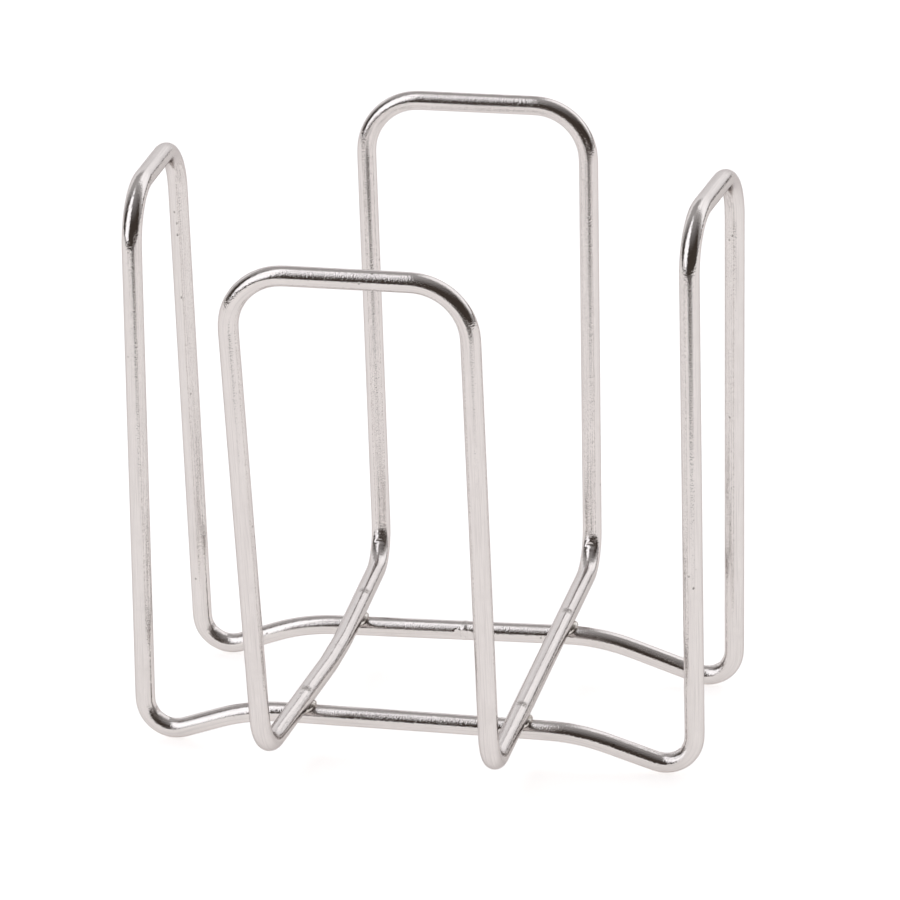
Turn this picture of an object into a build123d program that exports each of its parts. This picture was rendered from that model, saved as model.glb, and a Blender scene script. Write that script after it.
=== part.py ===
"""A wire toast rack: two closed loops of round wire that cross at right angles.

The side loop makes the left and right hoops and stands on its four bottom bends. The end loop
makes the front and back hoops, lies across the side loop and is welded to it at the four
crossings. Each loop is one bent wire, closed by a butt weld in the middle of a base run.

Millimetres, +Z up, +X to the right, +Y to the back. The origin is the middle of the rack's
footprint, on the surface that the rack stands on.
"""
from math import radians, sin, sqrt, tan
import os

from build123d import *

# The wire
WIRE = 5.0                    # diameter
TOP_BEND = 14.0               # centre-line radius of the bends at the top of every hoop
FOOT_BEND = 7.5               # centre-line radius of the side loop's bottom bends, the feet
KNEE_BEND = 50.0              # centre-line radius of the soft bends where a base run levels out
BASE_BEND = 10.5              # centre-line radius of the end loop's bottom bends
BOW_BEND = 40.0               # centre-line radius of the slight bends of a bowed run

# Side loop, between wire centre lines unless it says otherwise
SIDE_HEIGHT = 144.5           # overall, from the floor to the top of the wire
SIDE_SPAN = 141.0             # left hoop to right hoop
SIDE_DEPTH = 56.0             # front foot to back foot of one hoop
SIDE_TOP_DEPTH = 46.5         # the same at the top of the hoop
LEFT_TWIST = 1.5              # how much further out the back of the left hoop's top is
RIGHT_TWIST = 3.0             # the same on the right hoop
FRONT_CLEARANCE = 6.5         # floor to the underside of the raised front run
BACK_CLEARANCE = 8.0          # floor to the underside of the raised back run, at its middle
BACK_SLOPE = 1.4              # how many degrees the back run rises to the right
KNEE_OUTSET = 14.5            # from a crossing out to the corner of the knee beside it
BACK_RIGHT_KNEE_OUTSET = 9.0  # the same at the back right

# End loop
END_HEIGHT = 142.5            # overall, from the floor to the top of the wire
END_SPAN = 126.5              # front hoop to back hoop, at the base
END_TOP_SPAN = 141.0          # the same at the top: the hoops flare outwards
END_WIDTH = 57.0              # left upright to right upright, at the base
END_TOP_WIDTH = 59.0          # the same at the top
END_OFFSET = -2.0             # middle of the end loop from the middle of the side loop
END_LEAN = -2.0               # how far the tops of the end hoops lean sideways
LEFT_RUN_BOW = 2.8            # how far the left base run bows inwards at its middle
BOW_FLAT = 14.0               # length of its straight middle, between its two slight bends

# Welds
WELD_SINK = 0.35              # how deep the end loop is pressed into the side loop
WELD_REACH = 0.5              # how far the squeezed-out metal shows beyond the sides of the wire
BUTT_WELD = 1.2               # length of wire that each butt weld takes the place of
BUTT_RISE = 0.12              # how far a butt weld stands proud of the wire

BEND_SHARE = 0.9              # the most of a ramp's free length that its knee bend may use
FOOT_PASSES = 6               # rounds that settle a foot's corner on the floor
WIRE_RADIUS = WIRE / 2
LEFT, RIGHT = -1, 1
FRONT, BACK = -1, 1
SIDES = {"left": LEFT, "right": RIGHT}
ENDS = {"front": FRONT, "back": BACK}


def end_run_x(side, y):
    """X of the end loop's base run on one side, at y."""
    corner = END_OFFSET + side * END_WIDTH / 2
    if side == RIGHT:
        return corner
    return corner + LEFT_RUN_BOW * (END_SPAN / 2 - abs(y)) / (END_SPAN / 2 - BOW_FLAT / 2)


def side_run_z(end, x):
    """Centre height of the side loop's raised run at one end, at x."""
    if end == FRONT:
        return FRONT_CLEARANCE + WIRE_RADIUS
    return BACK_CLEARANCE + WIRE_RADIUS + x * tan(radians(BACK_SLOPE))


def crossing_point(end, side):
    """Middle of the end loop's wire where it crosses the side loop."""
    y = end * SIDE_DEPTH / 2
    x = end_run_x(side, y)
    return Vector(x, y, side_run_z(end, x) + WIRE - WELD_SINK)


def end_run_z(side, y):
    """Centre height of the end loop's base run on one side, which rests on both crossings."""
    front = crossing_point(FRONT, side)
    back = crossing_point(BACK, side)
    return front.Z + (back.Z - front.Z) * (y - front.Y) / (back.Y - front.Y)


def knee_corner(end, side):
    """Corner where a ramp from a foot meets the raised run."""
    outset = BACK_RIGHT_KNEE_OUTSET if (end, side) == (BACK, RIGHT) else KNEE_OUTSET
    x = crossing_point(end, side).X + side * outset
    return Vector(x, end * SIDE_DEPTH / 2, side_run_z(end, x))


def side_top_corner(end, side):
    twist = LEFT_TWIST if side == LEFT else RIGHT_TWIST
    x = side * (SIDE_SPAN / 2 + end * twist / 2)
    return Vector(x, end * SIDE_TOP_DEPTH / 2, SIDE_HEIGHT - WIRE_RADIUS)


def half_angle(one, other):
    """Half the angle between two directions, in radians."""
    return radians(one.get_angle(other)) / 2


def foot_corner(end, side):
    """Corner of upright and ramp, at the height that rests the bend between them on the floor."""
    knee = knee_corner(end, side)
    top = side_top_corner(end, side)
    corner = Vector(side * SIDE_SPAN / 2, end * SIDE_DEPTH / 2, 0)
    for _ in range(FOOT_PASSES):
        up = (top - corner).normalized()
        ramp = (knee - corner).normalized()
        inwards = (up + ramp).normalized()
        bend_middle = corner + inwards * (FOOT_BEND / sin(half_angle(up, ramp)))
        normal = up.cross(ramp).normalized()
        lowest = bend_middle.Z - FOOT_BEND * sqrt(1 - normal.Z ** 2)
        corner += Vector(0, 0, WIRE_RADIUS - lowest)
    return corner


def end_corner(end, side):
    y = end * END_SPAN / 2
    return Vector(end_run_x(side, y), y, end_run_z(side, y))


def end_top_corner(end, side):
    x = END_OFFSET + END_LEAN + side * END_TOP_WIDTH / 2
    return Vector(x, end * END_TOP_SPAN / 2, END_HEIGHT - WIRE_RADIUS)


def knee_bend(end, side):
    """Radius of a knee's bend, kept within the ramp beside it."""
    foot = foot_corner(end, side)
    knee = knee_corner(end, side)
    down = foot - side_top_corner(end, side)
    ramp = knee - foot
    run = knee_corner(end, -side) - knee
    free_ramp = ramp.length - FOOT_BEND * tan(half_angle(down, ramp))
    return min(KNEE_BEND, BEND_SHARE * free_ramp / tan(half_angle(ramp, run)))


def bow_corner(end):
    """Slight bend of the bowed left run, before or after its straight middle."""
    y = end * BOW_FLAT / 2
    return Vector(end_run_x(LEFT, y), y, end_run_z(LEFT, y))


def bent_wire(corners, bends):
    """Round wire along corners, each inner one rounded to its bend radius."""
    path = FilletPolyline(*corners, radius=bends)
    start = Plane(origin=corners[0], z_dir=corners[1] - corners[0])
    return sweep(start * Circle(WIRE_RADIUS), path=path)


def closed_by_weld(joint, corners, bends):
    """Wire that leaves one side of a butt joint and comes back to the other."""
    middle, along = joint
    gap = along * (BUTT_WELD / 2)
    return bent_wire([middle - gap, *corners, middle + gap], bends)


def side_loop_joint():
    """Middle of the back run, between the two side hoops, and the unit vector along the run."""
    run = knee_corner(BACK, RIGHT) - knee_corner(BACK, LEFT)
    return Vector(0, BACK * SIDE_DEPTH / 2, side_run_z(BACK, 0)), run.normalized()


def side_wire():
    """From the joint in the back run round by the left hoop, the front run and the right hoop."""
    corners = []
    bends = []
    for side, first, last in ((LEFT, BACK, FRONT), (RIGHT, FRONT, BACK)):
        corners += [knee_corner(first, side), foot_corner(first, side), side_top_corner(first, side)]
        corners += [side_top_corner(last, side), foot_corner(last, side), knee_corner(last, side)]
        bends += [knee_bend(first, side), FOOT_BEND, TOP_BEND]
        bends += [TOP_BEND, FOOT_BEND, knee_bend(last, side)]
    return closed_by_weld(side_loop_joint(), corners, bends)


def end_loop_joint():
    """Middle of the bowed left run, and the unit vector along it."""
    first, last = bow_corner(FRONT), bow_corner(BACK)
    return (first + last) / 2, (last - first).normalized()


def end_wire():
    """From the joint in the left run round by the front hoop, the right run and the back hoop."""
    corners = [bow_corner(FRONT)]
    for end, first, last in ((FRONT, LEFT, RIGHT), (BACK, RIGHT, LEFT)):
        corners += [end_corner(end, first), end_top_corner(end, first)]
        corners += [end_top_corner(end, last), end_corner(end, last)]
    corners.append(bow_corner(BACK))
    hoop_bends = [BASE_BEND, TOP_BEND, TOP_BEND, BASE_BEND]
    return closed_by_weld(end_loop_joint(), corners, [BOW_BEND, *hoop_bends, *hoop_bends, BOW_BEND])


def butt_weld(joint):
    """Short barrel of weld metal that fills the gap between the two ends of a wire."""
    middle, along = joint
    half = BUTT_WELD / 2
    profile = Polyline((0, -half), (WIRE_RADIUS, -half))
    bulge = ThreePointArc((WIRE_RADIUS, -half), (WIRE_RADIUS + BUTT_RISE, 0), (WIRE_RADIUS, half))
    close = Polyline((WIRE_RADIUS, half), (0, half), (0, -half))
    face = Plane.XZ * make_face([*profile.edges(), bulge, *close.edges()])
    return Plane(origin=middle, z_dir=along) * revolve(face, Axis.Z)


def cross_weld(end, side, side_loop, end_loop):
    """Metal squeezed out round a crossing: a ball at the contact, less both wires."""
    contact = crossing_point(end, side) - Vector(0, 0, WIRE_RADIUS - WELD_SINK / 2)
    ball = Pos(contact) * Sphere(WIRE_RADIUS + WELD_REACH)
    return ball - side_loop - end_loop


def build_rack():
    side_loop = side_wire()
    end_loop = end_wire() - side_loop
    rack = {"side_loop": side_loop, "end_loop": end_loop}
    rack["side_loop_butt_weld"] = butt_weld(side_loop_joint())
    rack["end_loop_butt_weld"] = butt_weld(end_loop_joint())
    for end_name, end in ENDS.items():
        for side_name, side in SIDES.items():
            name = f"{end_name}_{side_name}_cross_weld"
            rack[name] = cross_weld(end, side, side_loop, end_loop)
    return rack


def main():
    rack = build_rack()
    footprint = Compound(children=[shape.solid() for shape in rack.values()]).bounding_box()
    to_origin = Pos(-footprint.center().X, -footprint.center().Y, -footprint.min.Z)
    os.makedirs("parts", exist_ok=True)
    for node, shape in rack.items():
        placed = to_origin * shape
        export_step(placed, f"parts/{node}.step")
        print(node, len(placed.solids()), round(placed.volume, 2), placed.is_valid)


main()
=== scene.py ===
"""Looks of a wire toast rack: two loops of drawn stainless wire, welded where they cross.

Each loop's centre line is traced from its CAD node, and a finer wire is swept along it, with the
marks of the bending pins, the electrodes and the weld joints pressed into its surface.

Metres, +Z up, +X to the right, +Y to the back, as in the CAD frame.
"""

from math import cos, pi, radians, sin, sqrt

import bpy
import numpy as np
from mathutils import Matrix, Vector


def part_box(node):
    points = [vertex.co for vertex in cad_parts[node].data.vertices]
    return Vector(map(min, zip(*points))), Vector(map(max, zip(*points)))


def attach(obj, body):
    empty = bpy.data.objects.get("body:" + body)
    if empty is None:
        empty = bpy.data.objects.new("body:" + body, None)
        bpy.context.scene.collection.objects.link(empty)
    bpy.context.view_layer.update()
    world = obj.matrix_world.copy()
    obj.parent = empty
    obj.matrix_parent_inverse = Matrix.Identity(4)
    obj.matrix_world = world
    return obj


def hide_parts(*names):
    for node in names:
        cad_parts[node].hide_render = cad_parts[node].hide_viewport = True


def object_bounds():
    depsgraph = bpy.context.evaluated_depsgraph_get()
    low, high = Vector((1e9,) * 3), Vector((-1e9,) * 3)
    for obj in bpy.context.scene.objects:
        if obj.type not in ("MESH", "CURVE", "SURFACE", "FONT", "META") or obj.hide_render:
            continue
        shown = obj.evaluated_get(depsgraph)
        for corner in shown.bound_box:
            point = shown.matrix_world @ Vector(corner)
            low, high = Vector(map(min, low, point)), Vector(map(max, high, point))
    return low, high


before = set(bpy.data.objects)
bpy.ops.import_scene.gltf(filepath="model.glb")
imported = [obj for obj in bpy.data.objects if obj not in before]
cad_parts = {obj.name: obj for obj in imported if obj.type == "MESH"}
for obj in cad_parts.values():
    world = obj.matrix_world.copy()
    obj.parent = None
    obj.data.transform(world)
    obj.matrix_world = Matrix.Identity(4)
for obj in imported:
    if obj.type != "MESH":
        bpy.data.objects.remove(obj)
CAD_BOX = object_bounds()
BUTT_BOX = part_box("end_loop_butt_weld")
BUTT_HALF = (BUTT_BOX[1].y - BUTT_BOX[0].y) / 2    # half the length of a butt weld

MM = 0.001
BODY = "root"
CROSS_WELDS = [f"{row}_{hand}_cross_weld" for row in ("front", "back") for hand in ("left", "right")]
SLIPPED_WELD = "back_left_cross_weld"
TINY = 1e-9                                    # keeps a division from failing

# Camera
CAMERA_AZIMUTH = radians(-13.262)
CAMERA_ELEVATION = radians(20.791)
CAMERA_ROLL = radians(1.377)
CAMERA_DISTANCE = 1361.9 * MM
AIM_OFFSET = Vector((2.9, 1.4, -1.6)) * MM     # aim point from the middle of the rack's box
SENSOR = 36.0                                  # millimetres, as Blender counts them
LENS = 217.5
NEAREST = 0.05                                 # the camera sees from here
FARTHEST = 100.0                               # to here

# Table, the dark room in front of it, and a painted shadow on the table
FLOOR_SIZE = 30.0
FLOOR_COLOUR = (0.94, 0.915, 0.90, 1)
FLOOR_GLOW = 0.50                              # the table is lit from below as well
FLOOR_OVEREXPOSED = 0.06                       # more of it for the camera, which is set for a white table
TABLE_EDGE = (-0.68, -0.80)                    # Y where the table ends, as the wire reflects it
STAND_SHADOW_Y = (-0.27, -0.48)                       # painted shadow of the camera's stand, which darkens the table in front in the wire's reflections
STAND_SHADOW_X = (-0.03, 0.06)
STAND_SHADOW_SIDE = 0.42
SHADE_LIFT = 0.5 * MM

# Light, by the direction that it comes from: a fade is where each axis goes from none to full
KEY_WAY = (-0.971, 0.0, 0.239)                 # a big softbox on the left, tilted over the rack
KEY_EDGE = (0.37, 0.455)                       # how squarely a direction meets it
KEY_BACK_SLOPE = 0.94                          # its back edge runs aslant
KEY_BACK_EDGE = (-0.50, -0.26)
KEY_LIGHT = (1.52, 1.53, 1.58)
SWEEP_FADE = {"Y": (0.35, 0.55), "Z": (0.57, 0.47)}
SWEEP_LIGHT = (1.12, 1.12, 1.14)               # the white backdrop behind the table
FILL_FADE = {"X": (-0.10, 0.06), "Y": (0.30, 0.50), "Z": (0.15, 0.40)}
FILL_LIGHT = (1.30, 1.30, 1.32)                # a second softbox, high at the back on the right
GAP_FADE = {"X": (0.30, 0.37), "Z": (0.16, 0.06), "Y": (0.3, 0.5)}    # dark, beside the backdrop
WALL_FADE = {"Y": (-0.05, 0.25)}
WALL = (0.46, 0.45, 0.45)                      # behind the rack
DIM = (0.060, 0.048, 0.041)                    # the unlit room
# Colours from level to straight up
CEILING = [(0.0, DIM), (0.55, DIM), (0.85, (0.20, 0.19, 0.19)), (1.0, (0.34, 0.33, 0.33))]

# Tracing a wire's centre line
TRACE_STEP = 0.5 * MM
TRACE_REACH = 1.7                              # how far round a wire's middle to look, in radii
TRACE_SMOOTH = 1.2                             # in steps
SMOOTH_TAIL = 4                                # how far the smoothing reaches, in its own lengths
DENTED = 0.04                                  # share of the radius by which a groove lies inside
FEWEST_POINTS = 8                              # that a section can be fitted to
SLANT = (0.3, 0.5, 0.8)                        # a direction that no run of the wire has

# Sweeping a wire
WIRE_SIDES = 56
FINE_STEP = 0.35 * MM                          # ring spacing at marks
BEND_STEP = 1.6 * FINE_STEP                    # at bends
PLAIN_STEP = 2.4 * MM                          # and on plain straights
MARK_ROOM = 5.0 * MM                           # how far the fine rings go beside a mark
STRAIGHT = 150 * MM                            # a larger radius than this counts as straight
TIGHT_BEND = 25 * MM                           # a smaller radius than this is a hoop or foot bend
END_OVERLAP = 0.05 * MM                        # how far a wire's cut end goes into its butt weld

# Marks in the wire
BEND_FLAT = 0.05                               # share that a bend's outside loses, per radius ratio
BEND_SPREAD = 0.035                            # and that its two flanks gain
TIGHTEST = 0.4                                 # the most that counts: the wire's radius over the bend's
SKIN = 0.02 * MM                               # how far the swept surface stays inside the CAD's
WRINKLE_DEPTH = 0.045 * MM
WRINKLE_LENGTH = 1.5 * MM
WRINKLE_BEAT = 5.3                             # wrinkles in each swell of their depth
PIN_FLAT = 1.4 * MM                            # half length of a bending pin's polished flat
PIN_DEPTH = 0.30 * MM
PIN_INSET = 4.6 * MM                           # from the upper end of the bend to the flat's middle
PRESS_EDGE = 4                                 # how abruptly a tool's mark ends along the wire
POLISH_SHARE = 0.35                            # share of a tool's depth that polishes fully
NICK_HALF = 0.22 * MM
NICK_DEPTH = 0.18 * MM
ELECTRODE_HALF = 1.1 * MM
ELECTRODE_SLIP = 7.0 * MM                      # how far behind its crossing the slipped one is
ELECTRODE_DEPTH = 0.025 * MM
UPPER_ELECTRODE = (0.25, 0, 0.97)              # the side of the wire that it pressed on
LOWER_ELECTRODE = (0, 0, -1)
SCUFF_TURN = (0.84, 0.95)                      # cosine of the turn from a scuff's rim to its middle
GROUND_SIDE = (0.0, -0.99, -0.10)              # the side loop's butt weld is ground off in front
GROUND_HALF = 1.9 * MM
GROUND_DEPTH = 0.26 * MM
CHEVRON_HALF = 0.35 * MM                       # a nick where the grinding starts
CHEVRON_DEPTH = 0.45 * MM

# Welds
WELD_SIDES = 64
WELD_STEPS = 8
WELD_BALL = 0.85 * MM                          # radius of the ball that rolls round a crossing
WELD_UNEVEN = 0.22                             # how much that radius varies round the crossing
WELD_SHIFT = (1.3, 1.7)                        # where the first bead's waves start, and each next one's
WELD_BULGE = 0.42                              # how far the bead swells out, in ball radii
WELD_ROOT = 0.35 * MM                          # how deep the bead's edges reach into the wires
BUTT_LAP = 0.35 * MM                           # how far a butt weld laps over the wire's ends
BUTT_LUMPS = ((0.2, 3, 1.1), (0.1, 7, 0.0))    # share of its rise, lobes round the wire and shift
SIDE_BUTT_RISE = 0.09 * MM                     # how far the bead still stands out
END_BUTT_RISE = 0.03 * MM
BUTT_SINK = 0.008 * MM                         # how far its rims lie under the wire's surface
BUTT_PROUD = 0.03 * MM                         # how far it stands above the ground part of the wire
BUTT_RINGS = 22
JOINT_POINTS = 20                              # of the centre line, on each side of a butt weld

# Patterns in the metal
LINES_PER_METRE = 3200.0
LINE_SQUEEZE = 0.02                            # along the wire, which draws the lines out
LINE_DEPTH = 0.006 * MM
GRAINS_PER_METRE = 2800.0
GRAIN_DEPTH = 0.040 * MM                       # of the tumbled surface
BLOTCHES_PER_METRE = 250.0
SPATTER_DEPTH = 0.07 * MM                      # extra grain beside the welds
CRINKLES_PER_METRE = 2300.0
SCUFF_DEPTH = 0.10 * MM                        # where the welding electrodes stuck
SCRATCH_SCALE = (2600, 2600, 90)               # scratches per metre, across the wire and along it
SCRATCH_TURN = (0.35, 0.22, 0.0)
SCRATCH_PATCHES = 140.0                        # per metre
SCRATCH_THINNESS = 60.0
SCRATCH_DEPTH = 0.006 * MM
SCRATCHING = 0.8                               # how strong the scratches are
PIT_CELLS = 420.0                              # per metre
PIT_SHARE = 0.05                               # share of the cells that hold a pit
PIT_EDGE = 6.0
PIT_DEPTH = 0.05 * MM
HEAT_REACH = 6.0 * MM                          # how far from a weld the metal is mottled

# Where a pattern starts to show, and how fast it then does
BLOTCH_EDGE = (0.42, 2.0)
STREAK_EDGE = (0.45, 3.0)
PATCH_EDGE = (0.56, 9.0)
HOLLOW_EDGE = (0.40, 4.5)

# Colours of marks, and how much of them shows
HEATED = (0.42, 0.38, 0.34)
HEATED_SHARE = 0.9
PITTED = (0.20, 0.18, 0.16)
SCUFFED = (0.30, 0.27, 0.24)
SCUFFED_SHARE = 0.75
BLOTCHED_SHARE = 0.6
EDGE_TINT = (0.63, 0.61, 0.605, 1)             # how much the metal reflects at a glancing angle

# What each mark adds to the wire's roughness
LINE_ROUGHNESS = 0.10
BLOTCH_ROUGHNESS = 0.03
HEAT_ROUGHNESS = 0.10
POLISH_ROUGHNESS = -0.06
SCRATCH_ROUGHNESS = 0.10

# Weld metal
WELD_GRAINS = 3200.0                           # per metre
WELD_GRAIN_DEPTH = 0.02 * MM
WELD_HOLLOWS = 900.0                           # per metre
HOLLOW_ROUGHNESS = 0.15


def unit(vectors):
    """Vectors at length one, along the last axis."""
    return vectors / np.linalg.norm(vectors, axis=-1, keepdims=True)


# ---------------------------------------------------------------- the wires' centre lines


def mesh_edges(cad_node):
    """Both ends of every edge in a CAD node's mesh, as two arrays of points."""
    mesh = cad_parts[cad_node].data
    points = np.empty(len(mesh.vertices) * 3)
    mesh.vertices.foreach_get("co", points)
    ends = np.empty(len(mesh.edges) * 2, int)
    mesh.edges.foreach_get("vertices", ends)
    points = points.reshape(-1, 3)
    ends = ends.reshape(-1, 2)
    return points[ends[:, 0]], points[ends[:, 1]]


def cut_points(edges, middle, along, reach):
    """Where the plane through middle, across along, cuts the edges that pass near middle."""
    starts, ends = edges
    before = (starts - middle) @ along
    after = (ends - middle) @ along
    crossed = (before < 0) != (after < 0)
    share = before[crossed] / (before[crossed] - after[crossed])
    points = starts[crossed] + share[:, None] * (ends - starts)[crossed]
    return points[np.linalg.norm(points - middle, axis=1) < reach]


def fitted_circle(points, along):
    """Centre and radius of the circle that fits points best in the plane across along."""
    middle = points.mean(0)
    side = unit(np.cross(along, SLANT))
    other = np.cross(along, side)
    flat = np.column_stack([(points - middle) @ side, (points - middle) @ other])
    rows = np.column_stack([2 * flat, np.ones(len(flat))])
    x, y, rest = np.linalg.lstsq(rows, (flat ** 2).sum(1), rcond=None)[0]
    return middle + x * side + y * other, sqrt(rest + x * x + y * y)


def section(edges, middle, along, reach):
    """Centre and radius of a wire's round section near middle, or None where there's no wire."""
    points = cut_points(edges, middle, along, reach)
    if len(points) < FEWEST_POINTS:
        return None
    centre, radius = fitted_circle(points, along)
    off = np.linalg.norm(points - centre, axis=1)
    sound = off > radius * (1 - DENTED)
    if sound.sum() >= FEWEST_POINTS:
        centre, radius = fitted_circle(points[sound], along)
    return centre, radius


def weld_middle(weld):
    """Middle of a weld's CAD node."""
    low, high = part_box(weld)
    return np.array((low + high) / 2)


def traced(cad_node, weld, along):
    """Centre line of a looped wire, from its butt weld round to it again, and its radius."""
    low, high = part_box(weld)
    gap = abs(np.array(high - low) @ along) / 2
    across = max(high - low) / 2
    edges = mesh_edges(cad_node)
    start = weld_middle(weld)
    centres = []
    radii = []
    at = start + along * (gap + TRACE_STEP)
    while True:
        found = section(edges, at, along, across * TRACE_REACH)
        if found is None:
            break
        centre, radius = found
        if centres:
            along = unit(centre - centres[-1])
        centres.append(centre)
        radii.append(radius)
        at = centre + along * TRACE_STEP
    return closed_line(np.array(centres), start), float(np.median(radii))


def closed_line(centres, start):
    """An evenly stepped, smoothed line that starts and ends at start."""
    line = np.vstack([start, centres, start])
    far = np.concatenate([[0], np.cumsum(np.linalg.norm(np.diff(line, axis=0), axis=1))])
    steps = int(far[-1] / TRACE_STEP)
    even = np.linspace(0, far[-1], steps + 1)
    line = np.column_stack([np.interp(even, far, line[:, k]) for k in range(3)])
    reach = int(SMOOTH_TAIL * TRACE_SMOOTH)
    weights = np.exp(-0.5 * (np.arange(-reach, reach + 1) / TRACE_SMOOTH) ** 2)
    weights /= weights.sum()
    round_line = np.vstack([line[-reach - 1:-1], line, line[1:reach + 1]])
    return np.column_stack([np.convolve(round_line[:, k], weights, "valid") for k in range(3)])


class Wire:
    """A wire's centre line, with how far along each point is and the directions there."""

    def __init__(self, cad_node, weld, along):
        self.cad_node = cad_node
        self.line, self.radius = traced(cad_node, weld, np.array(along, float))
        gaps = np.linalg.norm(np.diff(self.line, axis=0), axis=1)
        self.far = np.concatenate([[0], np.cumsum(gaps)])
        self.length = self.far[-1]
        self.along = unit(np.gradient(self.line, self.far, axis=0))
        self.curve = np.gradient(self.along, self.far, axis=0)
        self.side = self.carried_side()

    def carried_side(self):
        """A direction across the wire, carried along it without twisting."""
        sides = [unit(np.cross(self.along[0], [0, 0, 1]))]
        for along in self.along[1:]:
            sides.append(unit(sides[-1] - (sides[-1] @ along) * along))
        return np.array(sides)

    def read(self, values, at):
        """Values of an array along the line, between its points."""
        return np.column_stack([np.interp(at, self.far, values[:, k]) for k in range(3)])

    def nearest(self, point):
        """How far along the wire comes nearest to point."""
        return self.far[np.argmin(np.linalg.norm(self.line - point, axis=1))]

    def bends(self):
        """The tight bends, each as where it starts and where it ends along the wire."""
        tight = np.linalg.norm(self.curve, axis=1) > 1 / TIGHT_BEND
        turns = np.flatnonzero(np.diff(tight.astype(int)))
        return [(self.far[a], self.far[b]) for a, b in zip(turns[::2], turns[1::2])]


# ---------------------------------------------------------------- marks pressed into a wire


class Press:
    """A tool that has pressed the wire flat from one direction, over a short length."""

    def __init__(self, wire, at, half, depth, facing, polish=1.0, scuff=0.0):
        self.at = at
        self.half = half
        self.depth = depth
        self.facing = unit(np.array(facing, float))
        self.middle = wire.read(wire.line, np.array([at]))[0]
        self.face = wire.radius - depth
        self.polish = polish
        self.scuff = scuff

    def beside(self, far):
        """One within the tool's length, falling to nothing beyond it."""
        return np.exp(-((far - self.at) / self.half) ** PRESS_EDGE)[:, None]

    def sink(self, far, points):
        """How deep each point is pressed in, for rings of points at far."""
        proud = (points - self.middle) @ self.facing - self.face
        return np.clip(proud, 0, None) * self.beside(far)

    def rubbed(self, far, outward):
        """How scuffed each point is round the mark, from 0 to 1."""
        squarely = (outward @ self.facing - SCUFF_TURN[0]) / (SCUFF_TURN[1] - SCUFF_TURN[0])
        return self.beside(far) * np.clip(squarely, 0, 1)


def pin_marks(wire):
    """Bending pins leave a nick and a polished flat inside each bottom bend, on the upright."""
    marks = []
    for start, end in wire.bends():
        low, high = sorted((start, end), key=lambda at: np.interp(at, wire.far, wire.line[:, 2]))
        if np.interp((start + end) / 2, wire.far, wire.line[:, 2]) > CAD_BOX[1].z / 2:
            continue
        towards = 1 if high > low else -1
        inside = wire.read(wire.curve, np.array([high]))[0]
        flat_at = high - towards * PIN_INSET
        marks.append(Press(wire, flat_at, PIN_FLAT, PIN_DEPTH, inside))
        nick_at = flat_at + towards * (PIN_FLAT + NICK_HALF)
        marks.append(Press(wire, nick_at, NICK_HALF, NICK_DEPTH, inside, polish=-1.0))
    return marks


def electrode_marks(wire, spots, facing):
    """The welding electrodes leave a shallow scuffed flat at each of the spots, on one side."""
    return [Press(wire, wire.nearest(spot), ELECTRODE_HALF, ELECTRODE_DEPTH, facing,
                  polish=0.0, scuff=1.0) for spot in spots]


def ground_marks(wire, facing):
    """Where the butt weld was ground down, at both ends of the traced line, and a nick beside it."""
    marks = [Press(wire, at, GROUND_HALF, GROUND_DEPTH, facing) for at in (0, wire.length)]
    nick_at = wire.length - GROUND_HALF
    marks.append(Press(wire, nick_at, CHEVRON_HALF, CHEVRON_DEPTH, facing, polish=-1.0))
    return marks


def bend_shape(wire, far, outward):
    """How a bend changes the section: outside flattened, flanks spread, inside wrinkled."""
    curve = wire.read(wire.curve, far)
    sharpness = np.linalg.norm(curve, axis=1)
    inside = curve / np.maximum(sharpness, TINY)[:, None]
    facing = (outward * inside[:, None]).sum(2)
    outer = np.clip(-facing, 0, 1)
    inner = np.clip(facing, 0, 1)
    ratio = np.clip(sharpness * wire.radius, 0, TIGHTEST)[:, None]
    change = ratio * wire.radius * (BEND_SPREAD * (1 - facing ** 2) - BEND_FLAT * outer ** 3)
    turn = 2 * pi * far / WRINKLE_LENGTH
    ripple = np.sin(turn) * np.sin(turn / WRINKLE_BEAT)
    return change + WRINKLE_DEPTH * ripple[:, None] * inner ** 4 * ratio / TIGHTEST


# ---------------------------------------------------------------- meshes


def ring_places(wire, marks):
    """Where the rings go along the wire: close together at bends and marks."""
    radius = 1 / np.maximum(np.linalg.norm(wire.curve, axis=1), TINY)
    spacing = np.where(radius < STRAIGHT, BEND_STEP, PLAIN_STEP)
    for mark in marks:
        near = abs(wire.far - mark.at) < mark.half + MARK_ROOM
        spacing = np.where(near, FINE_STEP, spacing)
    count = np.concatenate([[0], np.cumsum(np.diff(wire.far) / spacing[1:])])
    return np.interp(np.linspace(0, count[-1], int(count[-1]) + 1), count, wire.far)


def round_rings(wire, far, sides):
    """Centres and outward directions of rings of points round the wire."""
    centre = wire.read(wire.line, far)
    along = unit(wire.read(wire.along, far))
    side = wire.read(wire.side, far)
    side = unit(side - (side * along).sum(1)[:, None] * along)
    other = np.cross(along, side)
    turn = 2 * pi * np.arange(sides) / sides
    sideways = side[:, None] * np.cos(turn)[None, :, None]
    return centre, sideways + other[:, None] * np.sin(turn)[None, :, None]


def grid_faces(rows, columns, closed_rows):
    """Quads between rings of points; each ring closes on itself."""
    faces = []
    for i in range(rows if closed_rows else rows - 1):
        for j in range(columns):
            k = (j + 1) % columns
            n = (i + 1) % rows
            faces.append((i * columns + j, i * columns + k, n * columns + k, n * columns + j))
    return faces


def new_piece(name, points, faces, material, cad_node):
    """A smooth mesh that rides on the rack and stands for one CAD node."""
    mesh = bpy.data.meshes.new(name)
    mesh.from_pydata(points.reshape(-1, 3).tolist(), [], faces)
    mesh.polygons.foreach_set("use_smooth", [True] * len(mesh.polygons))
    mesh.materials.append(material)
    piece = bpy.data.objects.new(name, mesh)
    bpy.context.scene.collection.objects.link(piece)
    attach(piece, BODY)
    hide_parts(cad_node)
    return piece


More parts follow.
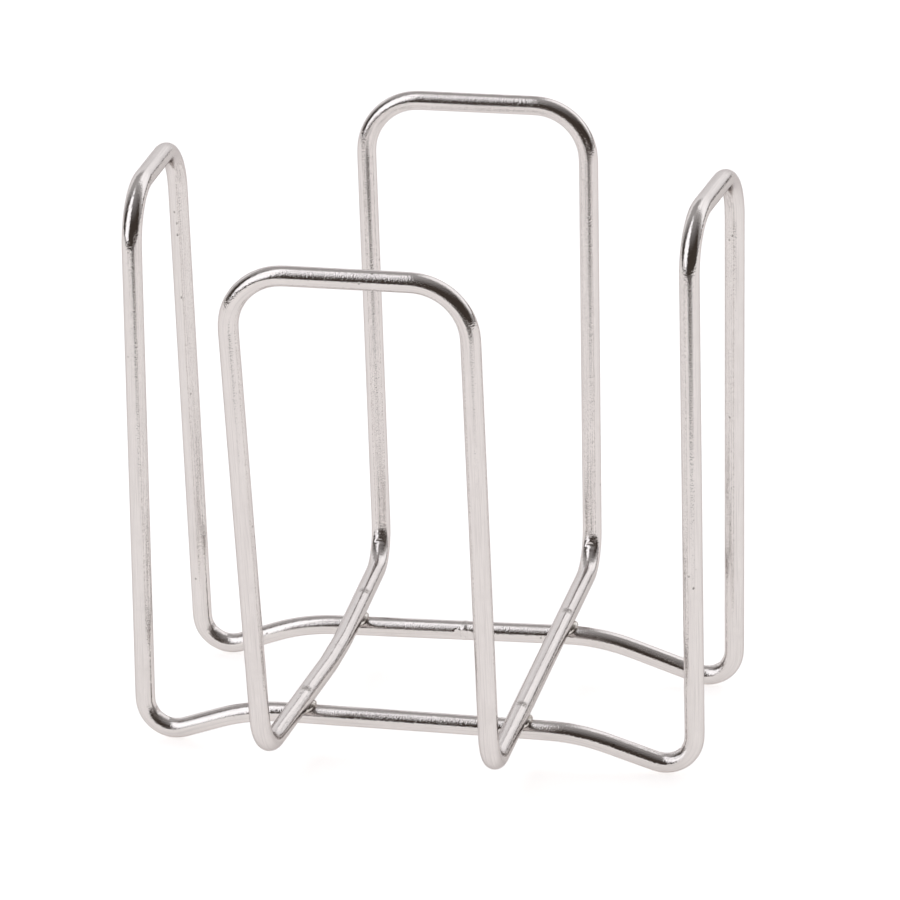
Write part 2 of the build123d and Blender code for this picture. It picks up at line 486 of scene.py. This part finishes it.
def add_map(mesh, far, sides):
    """UV map of a wire: turns round it, and metres along it."""
    layer = mesh.uv_layers.new(name="wire")
    for face in mesh.polygons:
        corners = [mesh.loops[i].vertex_index for i in face.loop_indices]
        last = any(c % sides == sides - 1 for c in corners)
        for i, corner in zip(face.loop_indices, corners):
            ring = corner // sides
            place = corner % sides
            turn = 1.0 if last and place == 0 else place / sides
            layer.data[i].uv = (turn, far[ring])


def add_values(mesh, name, values):
    """A number at each vertex, which a material reads by name."""
    attribute = mesh.attributes.new(name, "FLOAT", "POINT")
    attribute.data.foreach_set("value", np.asarray(values, np.float32).ravel())


def weld_heat(points, crossings, reach):
    """How near each point is to a weld, from 0 to 1."""
    near = [np.exp(-(np.linalg.norm(points - spot, axis=-1) / reach) ** 2) for spot in crossings]
    return np.max(near, axis=0)


def cut_rings(wire, marks):
    """Where the rings go from one cut end to the other, and one more for the cap of each end."""
    gap = BUTT_HALF - END_OVERLAP
    far = ring_places(wire, marks)
    far = np.concatenate([[gap], far[(far > gap) & (far < wire.length - gap)], [wire.length - gap]])
    return np.concatenate([far, far[[0, -1]]])


def capped_faces(rings):
    """Quads along a wire, and a face on each of the last two rings, which are its caps."""
    faces = grid_faces(rings - 2, WIRE_SIDES, False)
    faces.append(tuple(reversed(range((rings - 2) * WIRE_SIDES, (rings - 1) * WIRE_SIDES))))
    faces.append(tuple(range((rings - 1) * WIRE_SIDES, rings * WIRE_SIDES)))
    return faces


def pressed_rings(wire, marks, far):
    """Rings of points with every mark pressed in, and how polished and how scuffed each one is."""
    centre, outward = round_rings(wire, far, WIRE_SIDES)
    reach = wire.radius - SKIN + bend_shape(wire, far, outward)
    points = centre[:, None] + outward * reach[..., None]
    polish = np.zeros(reach.shape)
    scuff = np.zeros(reach.shape)
    for mark in marks:
        sunk = mark.sink(far, centre[:, None] + outward * wire.radius)
        points = points - sunk[..., None] * mark.facing
        polish += mark.polish * np.clip(sunk / (POLISH_SHARE * mark.depth), 0, 1)
        scuff += mark.scuff * mark.rubbed(far, outward)
    return points, polish, scuff


def wire_piece(name, wire, marks, hot_spots, material):
    """Sweeps the wire with its marks and gives it its map and its values."""
    far = cut_rings(wire, marks)
    points, polish, scuff = pressed_rings(wire, marks, far)
    piece = new_piece(name, points, capped_faces(len(far)), material, wire.cad_node)
    add_map(piece.data, far, WIRE_SIDES)
    add_values(piece.data, "polish", polish)
    add_values(piece.data, "scuff", scuff)
    add_values(piece.data, "heat", weld_heat(points, hot_spots, HEAT_REACH))
    return piece


def across_joint(wire, place):
    """Centres of the wire at place, which counts from the middle of its butt weld."""
    line = np.vstack([wire.line[-JOINT_POINTS:-1], wire.line[:JOINT_POINTS]])
    far = np.concatenate([wire.far[-JOINT_POINTS:-1] - wire.length, wire.far[:JOINT_POINTS]])
    return np.column_stack([np.interp(place, far, line[:, k]) for k in range(3)])


def butt_faces():
    """Quads between a butt weld's rings, and a cap on each end."""
    last = (BUTT_RINGS - 1) * WIRE_SIDES
    caps = [tuple(reversed(range(WIRE_SIDES))), tuple(last + j for j in range(WIRE_SIDES))]
    return grid_faces(BUTT_RINGS, WIRE_SIDES, False) + caps


def waves(turn, parts):
    """Sum of waves round a turn; each part is a size, a number of lobes and a shift."""
    return sum(size * np.sin(lobes * turn + shift) for size, lobes, shift in parts)


def butt_piece(name, wire, facing, rise, material):
    """Barrel of weld metal between the wire's two ends, ground down on one side if facing is given."""
    reach = BUTT_HALF + BUTT_LAP
    place = np.linspace(-reach, reach, BUTT_RINGS)
    centre = across_joint(wire, place)
    _, outward = round_rings(wire, np.zeros(1), WIRE_SIDES)
    outward = np.repeat(outward, BUTT_RINGS, axis=0)
    turn = 2 * pi * np.arange(WIRE_SIDES) / WIRE_SIDES
    swell = rise * (1 - (place / reach) ** 2) ** 2
    size = wire.radius - SKIN - BUTT_SINK + swell[:, None] * (1 + waves(turn, BUTT_LUMPS))[None, :]
    points = centre[:, None] + outward * size[..., None]
    if facing is not None:
        flat = unit(np.array(facing))
        proud = (points - centre[:, None]) @ flat - (wire.radius - GROUND_DEPTH + BUTT_PROUD)
        points = points - np.clip(proud, 0, None)[..., None] * flat
    return new_piece(name, points, butt_faces(), material, wire.cad_node + "_butt_weld")


def crossing_frame(spot, lower, upper):
    """Middle of a crossing, its axes along both wires and upwards, and half the wires' distance."""
    below = np.array([lower.nearest(spot)])
    above = np.array([upper.nearest(spot)])
    x_way = lower.read(lower.along, below)[0]
    y_way = upper.read(upper.along, above)[0]
    z_way = unit(np.cross(x_way, y_way))
    z_way = z_way * np.sign(z_way[2])
    low = lower.read(lower.line, below)[0]
    high = upper.read(upper.line, above)[0]
    flat = (high + low) / 2
    contact = flat + x_way * ((high - flat) @ x_way) + y_way * ((low - flat) @ y_way)
    return contact, (x_way, y_way, z_way), (high - low) @ z_way / 2


def cross_piece(name, cad_node, lower, upper, shift, material):
    """Bead of squeezed-out metal, rolled round the corner between two crossing wires."""
    contact, (x_way, y_way, z_way), half = crossing_frame(weld_middle(cad_node), lower, upper)
    turns = 2 * pi * np.arange(WELD_SIDES) / WELD_SIDES
    local = np.array([bead_profile(turn, half, lower.radius, shift) for turn in turns])
    world = contact + local[..., :1] * x_way + local[..., 1:2] * y_way + local[..., 2:] * z_way
    faces = grid_faces(WELD_SIDES, local.shape[1], True)
    return new_piece(name, world, faces, material, cad_node)


def ball_middle(turn, half, reach):
    """Middle of a ball that touches both wires, reach from the axis of each, at one turn."""
    level = cos(2 * turn)
    if abs(level) < TINY:
        square = 2 * (reach ** 2 - half ** 2)
    else:
        lead = (level / (4 * half)) ** 2
        square = (-0.5 + sqrt(0.25 - 4 * lead * (half ** 2 - reach ** 2))) / (2 * lead)
    return np.array([sqrt(square) * cos(turn), sqrt(square) * sin(turn), square * level / (4 * half)])


def bead_profile(turn, half, radius, shift):
    """Closed outline of the bead at one turn round the crossing, in the crossing's own frame."""
    wave = waves(turn, ((0.6, 1, shift), (0.4, 3, 2.3 * shift)))
    ball = WELD_BALL * (1 + WELD_UNEVEN * wave)
    middle = ball_middle(turn, half, radius + ball)
    low_axis = np.array([middle[0], 0, -half])
    high_axis = np.array([0, middle[1], half])
    low = low_axis + unit(middle - low_axis) * radius
    high = high_axis + unit(middle - high_axis) * radius
    share = np.linspace(0, 1, WELD_STEPS)[:, None]
    chord = low + (high - low) * share
    out = unit(middle - (low + high) / 2)
    bulge = WELD_BULGE * ball * 4 * share * (1 - share)
    low_root = low + unit(low_axis - low) * WELD_ROOT
    high_root = high + unit(high_axis - high) * WELD_ROOT
    return np.vstack([low_root, chord + out * bulge, high_root])


# ---------------------------------------------------------------- shader nodes


def node(tree, kind, inputs=(), **settings):
    """Adds a shader node. Each of inputs is a socket's name and a value or another socket."""
    made = tree.nodes.new("ShaderNode" + kind)
    for name, value in settings.items():
        setattr(made, name, value)
    for name, value in dict(inputs).items():
        if isinstance(value, bpy.types.NodeSocket):
            tree.links.new(value, made.inputs[name])
        else:
            made.inputs[name].default_value = value
    return made


def calc(tree, operation, first, second=0.0, clamp=False):
    """Result of one sum on two values or sockets."""
    made = node(tree, "Math", {0: first, 1: second}, operation=operation)
    made.use_clamp = clamp
    return made.outputs[0]


def product(tree, *shares):
    """Product of several values or sockets."""
    total = shares[0]
    for share in shares[1:]:
        total = calc(tree, "MULTIPLY", total, share)
    return total


def plus(tree, total, value, gain, clamp=False):
    """Total, with gain times value added to it."""
    return calc(tree, "ADD", total, calc(tree, "MULTIPLY", value, gain), clamp)


def risen(tree, value, edge):
    """Nothing up to edge's first number, and rising beyond it as fast as its second says."""
    start, gain = edge
    return calc(tree, "MULTIPLY", calc(tree, "SUBTRACT", value, start), gain, clamp=True)


def fading(tree, value, steepness):
    """1 where value is nothing, falling to 0 as it grows."""
    return calc(tree, "SUBTRACT", 1.0, calc(tree, "MULTIPLY", value, steepness), clamp=True)


def eased(tree, value, low, high):
    """Rises smoothly from 0 at low to 1 at high."""
    inputs = {"Value": value, "From Min": low, "From Max": high}
    return node(tree, "MapRange", inputs, interpolation_type="SMOOTHSTEP").outputs[0]


def faded(tree, parts, fades):
    """Product of the fades along the axes named in fades."""
    return product(tree, *(eased(tree, parts.outputs[axis], *edge) for axis, edge in fades.items()))


def noise(tree, place, scale, detail, roughness=0.5, distortion=0.0):
    """Cloudy pattern between 0 and 1, about one half."""
    inputs = {"Vector": place, "Scale": scale, "Detail": detail, "Roughness": roughness,
              "Distortion": distortion}
    return node(tree, "TexNoise", inputs).outputs["Fac"]


def off_middle(tree, pattern):
    """How far a cloudy pattern is from one half, either way: nothing along thin winding lines."""
    return calc(tree, "ABSOLUTE", calc(tree, "SUBTRACT", pattern, 0.5))


def group(name, inputs, outputs):
    """A new node group with named inputs and outputs. Returns its tree, input and output nodes."""
    tree = bpy.data.node_groups.new(name, "ShaderNodeTree")
    for label, kind, value in inputs:
        socket = tree.interface.new_socket(label, in_out="INPUT", socket_type="NodeSocket" + kind)
        if value is not None:
            socket.default_value = value
    for label, kind in outputs:
        tree.interface.new_socket(label, in_out="OUTPUT", socket_type="NodeSocket" + kind)
    return tree, tree.nodes.new("NodeGroupInput"), tree.nodes.new("NodeGroupOutput")


def placed(tree, made_group, inputs=()):
    """Places a group in a material, with its own values."""
    return node(tree, "Group", inputs, node_tree=made_group)


def ramp(tree, value, stops):
    """Colour ramp on a value; stops are (place, colour) with a grey or a colour each."""
    made = node(tree, "ValToRGB", {"Fac": value})
    while len(made.color_ramp.elements) < len(stops):
        made.color_ramp.elements.new(0.5)
    for element, (place, colour) in zip(made.color_ramp.elements, stops):
        element.position = place
        element.color = (*colour, 1) if isinstance(colour, tuple) else (colour, colour, colour, 1)
    return made.outputs["Color"]


def mixed(tree, share, first, second):
    """Colour between two colours or sockets."""
    made = node(tree, "Mix", {0: share}, data_type="RGBA")
    for socket, value in ((made.inputs[6], first), (made.inputs[7], second)):
        if isinstance(value, bpy.types.NodeSocket):
            tree.links.new(value, socket)
        else:
            socket.default_value = (*value, 1)
    return made.outputs[2]


def bumped(tree, height, distance, below=None):
    """Normal of a surface raised by height, over another normal if there is one."""
    inputs = {"Height": height, "Distance": distance}
    if below is not None:
        inputs["Normal"] = below
    return node(tree, "Bump", inputs).outputs["Normal"]


# ---------------------------------------------------------------- patterns in the metal


def wire_space():
    """Group that rolls the wire's map up into a seamless rod, in metres."""
    tree, start, end = group("rolled_wire_space", [("Radius", "Float", 2.5 * MM)], [("Place", "Vector")])
    mapped = node(tree, "UVMap", uv_map="wire")
    parts = node(tree, "SeparateXYZ", {"Vector": mapped.outputs["UV"]})
    turn = calc(tree, "MULTIPLY", parts.outputs["X"], 2 * pi)
    x = calc(tree, "MULTIPLY", calc(tree, "COSINE", turn), start.outputs["Radius"])
    y = calc(tree, "MULTIPLY", calc(tree, "SINE", turn), start.outputs["Radius"])
    made = node(tree, "CombineXYZ", {"X": x, "Y": y, "Z": parts.outputs["Y"]})
    tree.links.new(made.outputs["Vector"], end.inputs["Place"])
    return tree


def draw_lines():
    """Group for the fine lengthwise lines that the drawing die leaves."""
    inputs = [("Place", "Vector", None), ("Lines per metre", "Float", LINES_PER_METRE),
              ("Stretch", "Float", LINE_SQUEEZE)]
    tree, start, end = group("draw_lines", inputs, [("Lines", "Float")])
    squeeze = node(tree, "CombineXYZ", {"X": 1.0, "Y": 1.0, "Z": start.outputs["Stretch"]})
    factors = {0: start.outputs["Place"], 1: squeeze.outputs[0]}
    place = node(tree, "VectorMath", factors, operation="MULTIPLY").outputs[0]
    lines = noise(tree, place, start.outputs["Lines per metre"], 2.0, roughness=0.6)
    tree.links.new(lines, end.inputs["Lines"])
    return tree


def tumbled_grain():
    """Group for the fine grain of a tumbled surface, and softer blotches in it."""
    inputs = [("Place", "Vector", None), ("Grains per metre", "Float", GRAINS_PER_METRE),
              ("Blotches per metre", "Float", BLOTCHES_PER_METRE)]
    tree, start, end = group("tumbled_grain", inputs, [("Grain", "Float"), ("Blotches", "Float")])
    place = start.outputs["Place"]
    fine = noise(tree, place, start.outputs["Grains per metre"], 1.0)
    soft = noise(tree, place, start.outputs["Blotches per metre"], 3.0, roughness=0.6, distortion=0.4)
    tree.links.new(fine, end.inputs["Grain"])
    tree.links.new(soft, end.inputs["Blotches"])
    return tree


def thin_scratches(tree, place):
    """Thin scratches, nearly along the wire, in scattered patches."""
    settings = {"Vector": place, "Rotation": SCRATCH_TURN, "Scale": SCRATCH_SCALE}
    turned = node(tree, "Mapping", settings).outputs[0]
    thin = fading(tree, off_middle(tree, noise(tree, turned, 1.0, 0.0)), SCRATCH_THINNESS)
    return product(tree, thin, risen(tree, noise(tree, place, SCRATCH_PATCHES, 1.0), PATCH_EDGE))


def scattered_pits(tree, place):
    """A round pit in a few of the cells of a scattered pattern."""
    cells = node(tree, "TexVoronoi", {"Vector": place, "Scale": PIT_CELLS})
    lot = node(tree, "SeparateColor", {"Color": cells.outputs["Color"]}).outputs[0]
    return product(tree, calc(tree, "LESS_THAN", lot, PIT_SHARE),
                   fading(tree, cells.outputs["Distance"], PIT_EDGE))


def handling_marks():
    """Group for thin scratches from handling and for scattered pits."""
    inputs = [("Place", "Vector", None), ("Scratches", "Float", 0.5), ("Pits", "Float", 0.5)]
    tree, start, end = group("handling_marks", inputs, [("Scratches", "Float"), ("Pits", "Float")])
    for name, pattern in (("Scratches", thin_scratches), ("Pits", scattered_pits)):
        marks = product(tree, pattern(tree, start.outputs["Place"]), start.outputs[name])
        tree.links.new(marks, end.inputs[name])
    return tree


def electrode_crinkle():
    """Group for the curled ridges that an electrode leaves where it sticks."""
    tree, start, end = group("electrode_crinkle", [("Place", "Vector", None)], [("Height", "Float")])
    pattern = noise(tree, start.outputs["Place"], CRINKLES_PER_METRE, 1.0, distortion=1.5)
    height = calc(tree, "MULTIPLY", off_middle(tree, pattern), 8.0, clamp=True)
    tree.links.new(height, end.inputs["Height"])
    return tree


# ---------------------------------------------------------------- materials


def empty_material(name):
    """A material that has no nodes yet, and its tree."""
    material = bpy.data.materials.new(name)
    material.use_nodes = True
    material.node_tree.nodes.clear()
    return material, material.node_tree


def new_material(name):
    """A material with one shader, its tree and the shader."""
    material, tree = empty_material(name)
    shader = node(tree, "BsdfPrincipled")
    node(tree, "OutputMaterial", {"Surface": shader.outputs["BSDF"]})
    return material, tree, shader


def set_metal(shader):
    """Makes a shader bare metal, a little dulled at glancing angles."""
    shader.inputs["Metallic"].default_value = 1.0
    shader.inputs["Specular Tint"].default_value = EDGE_TINT


def mesh_value(tree, name):
    """A value that the mesh holds at each vertex."""
    return node(tree, "Attribute", attribute_name=name).outputs["Fac"]


class WireSurface:
    """The patterns on a drawn wire, and the colour, roughness and normal that they make."""

    def __init__(self, tree):
        place = placed(tree, GROUPS["space"]).outputs["Place"]
        grain = placed(tree, GROUPS["grain"], {"Place": place})
        marks = placed(tree, GROUPS["marks"], {"Place": place, "Scratches": SCRATCHING, "Pits": 1.0})
        crinkle = placed(tree, GROUPS["crinkle"], {"Place": place})
        between = calc(tree, "SUBTRACT", 1.0, crinkle.outputs["Height"])
        self.tree = tree
        self.lines = placed(tree, GROUPS["lines"], {"Place": place}).outputs["Lines"]
        self.grain = grain.outputs["Grain"]
        self.blotches = risen(tree, grain.outputs["Blotches"], BLOTCH_EDGE)
        self.scratches = marks.outputs["Scratches"]
        self.pits = marks.outputs["Pits"]
        self.heat = mesh_value(tree, "heat")
        self.polish = mesh_value(tree, "polish")
        self.curls = calc(tree, "MULTIPLY", mesh_value(tree, "scuff"), between)

    def colour(self, clean, worn):
        """Worn in blotches and streaks, brown near welds, dark in pits and scuffs."""
        tree = self.tree
        streaks = risen(tree, self.lines, STREAK_EDGE)
        blotched = calc(tree, "MULTIPLY", self.blotches, BLOTCHED_SHARE)
        colour = mixed(tree, calc(tree, "MAXIMUM", blotched, streaks), clean, worn)
        mottled = calc(tree, "MULTIPLY", self.heat, calc(tree, "MULTIPLY", self.grain, HEATED_SHARE))
        colour = mixed(tree, mottled, colour, HEATED)
        colour = mixed(tree, self.pits, colour, PITTED)
        return mixed(tree, calc(tree, "MULTIPLY", self.curls, SCUFFED_SHARE), colour, SCUFFED)

    def roughness(self, base):
        """Rougher in lines, blotches, scratches and near welds, smoother where a tool pressed."""
        tree = self.tree
        rough = plus(tree, base, calc(tree, "SUBTRACT", self.lines, 0.5), LINE_ROUGHNESS)
        rough = plus(tree, rough, self.blotches, BLOTCH_ROUGHNESS)
        rough = plus(tree, rough, self.heat, HEAT_ROUGHNESS)
        rough = plus(tree, rough, self.polish, POLISH_ROUGHNESS)
        return plus(tree, rough, self.scratches, SCRATCH_ROUGHNESS, clamp=True)

    def normal(self):
        """Lines, grain, scratches, pits, scuffs and the spatter beside the welds, one over another."""
        tree = self.tree
        normal = bumped(tree, self.lines, LINE_DEPTH)
        normal = bumped(tree, self.grain, GRAIN_DEPTH, normal)
        normal = bumped(tree, calc(tree, "MULTIPLY", self.scratches, -1.0), SCRATCH_DEPTH, normal)
        normal = bumped(tree, calc(tree, "MULTIPLY", self.pits, -1.0), PIT_DEPTH, normal)
        normal = bumped(tree, self.curls, SCUFF_DEPTH, normal)
        return bumped(tree, calc(tree, "MULTIPLY", self.heat, self.grain), SPATTER_DEPTH, normal)


def drawn_wire(name, clean, worn, roughness):
    """Drawn and tumbled stainless wire, polished where tools pressed it, mottled near welds."""
    material, tree, shader = new_material(name)
    surface = WireSurface(tree)
    tree.links.new(surface.colour(clean, worn), shader.inputs["Base Color"])
    tree.links.new(surface.roughness(roughness), shader.inputs["Roughness"])
    tree.links.new(surface.normal(), shader.inputs["Normal"])
    set_metal(shader)
    return material


def weld_metal(name, clean, dull, roughness, lumps):
    """Weld metal that has run and set: paler on the crowns, dark in the hollows."""
    material, tree, shader = new_material(name)
    place = node(tree, "TexCoord").outputs["Object"]
    values = {"Place": place, "Grains per metre": WELD_GRAINS, "Blotches per metre": WELD_HOLLOWS}
    grain = placed(tree, GROUPS["grain"], values)
    hollows = risen(tree, grain.outputs["Blotches"], HOLLOW_EDGE)
    rough = plus(tree, roughness, hollows, HOLLOW_ROUGHNESS, clamp=True)
    normal = bumped(tree, grain.outputs["Blotches"], lumps)
    normal = bumped(tree, grain.outputs["Grain"], WELD_GRAIN_DEPTH, normal)
    tree.links.new(mixed(tree, hollows, clean, dull), shader.inputs["Base Color"])
    tree.links.new(rough, shader.inputs["Roughness"])
    tree.links.new(normal, shader.inputs["Normal"])
    set_metal(shader)
    return material


# ---------------------------------------------------------------- studio


def flat_sheet(name, low, high, height):
    """A level rectangle between two corners."""
    corners = [(low[0], low[1], height), (high[0], low[1], height),
               (high[0], high[1], height), (low[0], high[1], height)]
    mesh = bpy.data.meshes.new(name)
    mesh.from_pydata(corners, [], [(0, 1, 2, 3)])
    sheet = bpy.data.objects.new(name, mesh)
    bpy.context.scene.collection.objects.link(sheet)
    return sheet


def make_floor():
    """A white table under the rack, which the camera sees a little brighter than it is."""
    floor = flat_sheet("floor", (-FLOOR_SIZE, -FLOOR_SIZE), (FLOOR_SIZE, FLOOR_SIZE), 0.0)
    material, tree, shader = new_material("white_table")
    shader.inputs["Base Color"].default_value = FLOOR_COLOUR
    shader.inputs["Roughness"].default_value = 0.9
    shader.inputs["Specular IOR Level"].default_value = 0.1
    shader.inputs["Emission Color"].default_value = (1, 1, 1, 1)
    seen = node(tree, "LightPath").outputs["Is Camera Ray"]
    tree.links.new(plus(tree, FLOOR_GLOW, seen, FLOOR_OVEREXPOSED), shader.inputs["Emission Strength"])
    floor.data.materials.append(material)


def reflected_only(sheet):
    """Hides a sheet from everything but the reflections in the wire."""
    for kind in ("camera", "diffuse", "shadow", "transmission", "volume_scatter"):
        setattr(sheet, "visible_" + kind, False)


def fading_dark(name, fades):
    """Dark material of the unlit room and of the painted shadow on the table, which fades in along each
    axis named in fades.
    """
    material, tree = empty_material(name)
    parts = node(tree, "SeparateXYZ", {"Vector": node(tree, "TexCoord").outputs["Object"]})
    clear = node(tree, "BsdfTransparent")
    dark = node(tree, "Emission", {"Color": (*DIM, 1), "Strength": 1.0})
    shaders = {0: faded(tree, parts, fades), 1: clear.outputs[0], 2: dark.outputs[0]}
    mix = node(tree, "MixShader", shaders)
    node(tree, "OutputMaterial", {"Surface": mix.outputs[0]})
    return material


def make_dark_front():
    """What the polished wire picks up in front: the room past the table, and a painted shadow of the
    camera's stand on the table.
    """
    edge = TABLE_EDGE[0]
    room = flat_sheet("room_in_front", (-FLOOR_SIZE, -FLOOR_SIZE), (FLOOR_SIZE, edge), SHADE_LIFT)
    room.data.materials.append(fading_dark("room_in_front", {"Y": TABLE_EDGE}))
    # painted shadow of the camera's stand: a dark sheet lying on the table, seen only in reflections
    shadow_sheet = flat_sheet("painted_stand_shadow", (STAND_SHADOW_X[0], edge), (STAND_SHADOW_SIDE, STAND_SHADOW_Y[0]), SHADE_LIFT)
    shadow_sheet.data.materials.append(fading_dark("painted_stand_shadow", {"X": STAND_SHADOW_X, "Y": STAND_SHADOW_Y}))
    reflected_only(room)
    reflected_only(shadow_sheet)


def key_share(tree, way, parts):
    """How much of the big softbox on the left each direction meets."""
    facing = node(tree, "VectorMath", {0: way, 1: KEY_WAY}, operation="DOT_PRODUCT").outputs["Value"]
    slanting = calc(tree, "MULTIPLY", parts.outputs["X"], KEY_BACK_SLOPE)
    behind = calc(tree, "SUBTRACT", slanting, parts.outputs["Y"])
    return product(tree, eased(tree, facing, *KEY_EDGE), eased(tree, behind, *KEY_BACK_EDGE))


def room_light(tree):
    """Colour of the light from each direction: softboxes, backdrop and wall in a dim room."""
    way = node(tree, "TexCoord").outputs["Generated"]
    parts = node(tree, "SeparateXYZ", {"Vector": way})
    colour = ramp(tree, parts.outputs["Z"], CEILING)
    colour = mixed(tree, faded(tree, parts, WALL_FADE), colour, WALL)
    colour = mixed(tree, faded(tree, parts, SWEEP_FADE), colour, SWEEP_LIGHT)
    colour = mixed(tree, faded(tree, parts, FILL_FADE), colour, FILL_LIGHT)
    colour = mixed(tree, key_share(tree, way, parts), colour, KEY_LIGHT)
    return mixed(tree, faded(tree, parts, GAP_FADE), colour, DIM)


def make_world():
    """The room's light on the rack, and plain white for the camera."""
    world = bpy.data.worlds.new("studio")
    bpy.context.scene.world = world
    world.use_nodes = True
    tree = world.node_tree
    tree.nodes.clear()
    light = node(tree, "Background", {"Color": room_light(tree), "Strength": 1.0})
    paper = node(tree, "Background", {"Color": (1, 1, 1, 1), "Strength": 1.0})
    seen = node(tree, "LightPath").outputs["Is Camera Ray"]
    mix = node(tree, "MixShader", {0: seen, 1: light.outputs[0], 2: paper.outputs[0]})
    node(tree, "OutputWorld", {"Surface": mix.outputs[0]})


def camera_place():
    """Where the camera stands and how it is turned, as one matrix."""
    level = cos(CAMERA_ELEVATION)
    ahead = (sin(CAMERA_AZIMUTH) * level, cos(CAMERA_AZIMUTH) * level, -sin(CAMERA_ELEVATION))
    forward = Vector(ahead)
    right = Vector((cos(CAMERA_AZIMUTH), -sin(CAMERA_AZIMUTH), 0))
    down = forward.cross(right)
    rolled_right = right * cos(CAMERA_ROLL) + down * sin(CAMERA_ROLL)
    rolled_down = down * cos(CAMERA_ROLL) - right * sin(CAMERA_ROLL)
    turn = Matrix((rolled_right, -rolled_down, -forward)).transposed()
    aim = (CAD_BOX[0] + CAD_BOX[1]) / 2 + AIM_OFFSET
    return Matrix.Translation(aim - forward * CAMERA_DISTANCE) @ turn.to_4x4()


def make_camera():
    """A long lens, a little to the right of the rack and above it."""
    data = bpy.data.cameras.new("camera")
    data.sensor_width = SENSOR
    data.lens = LENS
    data.clip_start = NEAREST
    data.clip_end = FARTHEST
    camera = bpy.data.objects.new("camera", data)
    bpy.context.scene.collection.objects.link(camera)
    camera.matrix_world = camera_place()
    bpy.context.scene.camera = camera


# ---------------------------------------------------------------- the rack


def make_metals():
    """The metal of each loop, of the beads at the crossings and of the butt welds."""
    return {
        "side": drawn_wire("side_loop_steel", (0.71, 0.675, 0.658), (0.60, 0.565, 0.550), 0.09),
        "end": drawn_wire("end_loop_steel", (0.71, 0.673, 0.657), (0.60, 0.563, 0.549), 0.095),
        "bead": weld_metal("squeezed_weld_metal", (0.72, 0.69, 0.66), (0.44, 0.40, 0.36), 0.20, 0.08 * MM),
        "butt": weld_metal("ground_weld_metal", (0.71, 0.675, 0.658), (0.65, 0.615, 0.60), 0.14, 0.02 * MM)}


def struck_spots():
    """Where the upper electrode pressed: on each crossing, but for the one where it slipped."""
    spots = {name: weld_middle(name) for name in CROSS_WELDS}
    spots[SLIPPED_WELD] = spots[SLIPPED_WELD] + (0, ELECTRODE_SLIP, 0)
    return list(spots.values())


def build_rack(metals):
    """The two wires with their tool marks, then their butt welds, then the beads at the crossings."""
    side = Wire("side_loop", "side_loop_butt_weld", (1, 0, 0))
    end = Wire("end_loop", "end_loop_butt_weld", (0, 1, 0))
    crossings = [weld_middle(name) for name in CROSS_WELDS]
    side_marks = pin_marks(side) + electrode_marks(side, crossings, LOWER_ELECTRODE)
    side_marks += ground_marks(side, GROUND_SIDE)
    end_marks = pin_marks(end) + electrode_marks(end, struck_spots(), UPPER_ELECTRODE)
    side_heat = crossings + [weld_middle("side_loop_butt_weld")]
    end_heat = crossings + [weld_middle("end_loop_butt_weld")]
    wire_piece("side_loop_wire", side, side_marks, side_heat, metals["side"])
    wire_piece("end_loop_wire", end, end_marks, end_heat, metals["end"])
    butt_piece("side_loop_butt_bead", side, GROUND_SIDE, SIDE_BUTT_RISE, metals["butt"])
    butt_piece("end_loop_butt_bead", end, None, END_BUTT_RISE, metals["butt"])
    for number, name in enumerate(CROSS_WELDS):
        shift = WELD_SHIFT[0] + WELD_SHIFT[1] * number
        cross_piece(name.replace("cross_weld", "cross_bead"), name, side, end, shift, metals["bead"])


bpy.context.scene.view_settings.view_transform = "Standard"
make_camera()
make_floor()
make_dark_front()
make_world()
GROUPS = {"space": wire_space(), "lines": draw_lines(), "grain": tumbled_grain(),
          "marks": handling_marks(), "crinkle": electrode_crinkle()}
build_rack(make_metals())
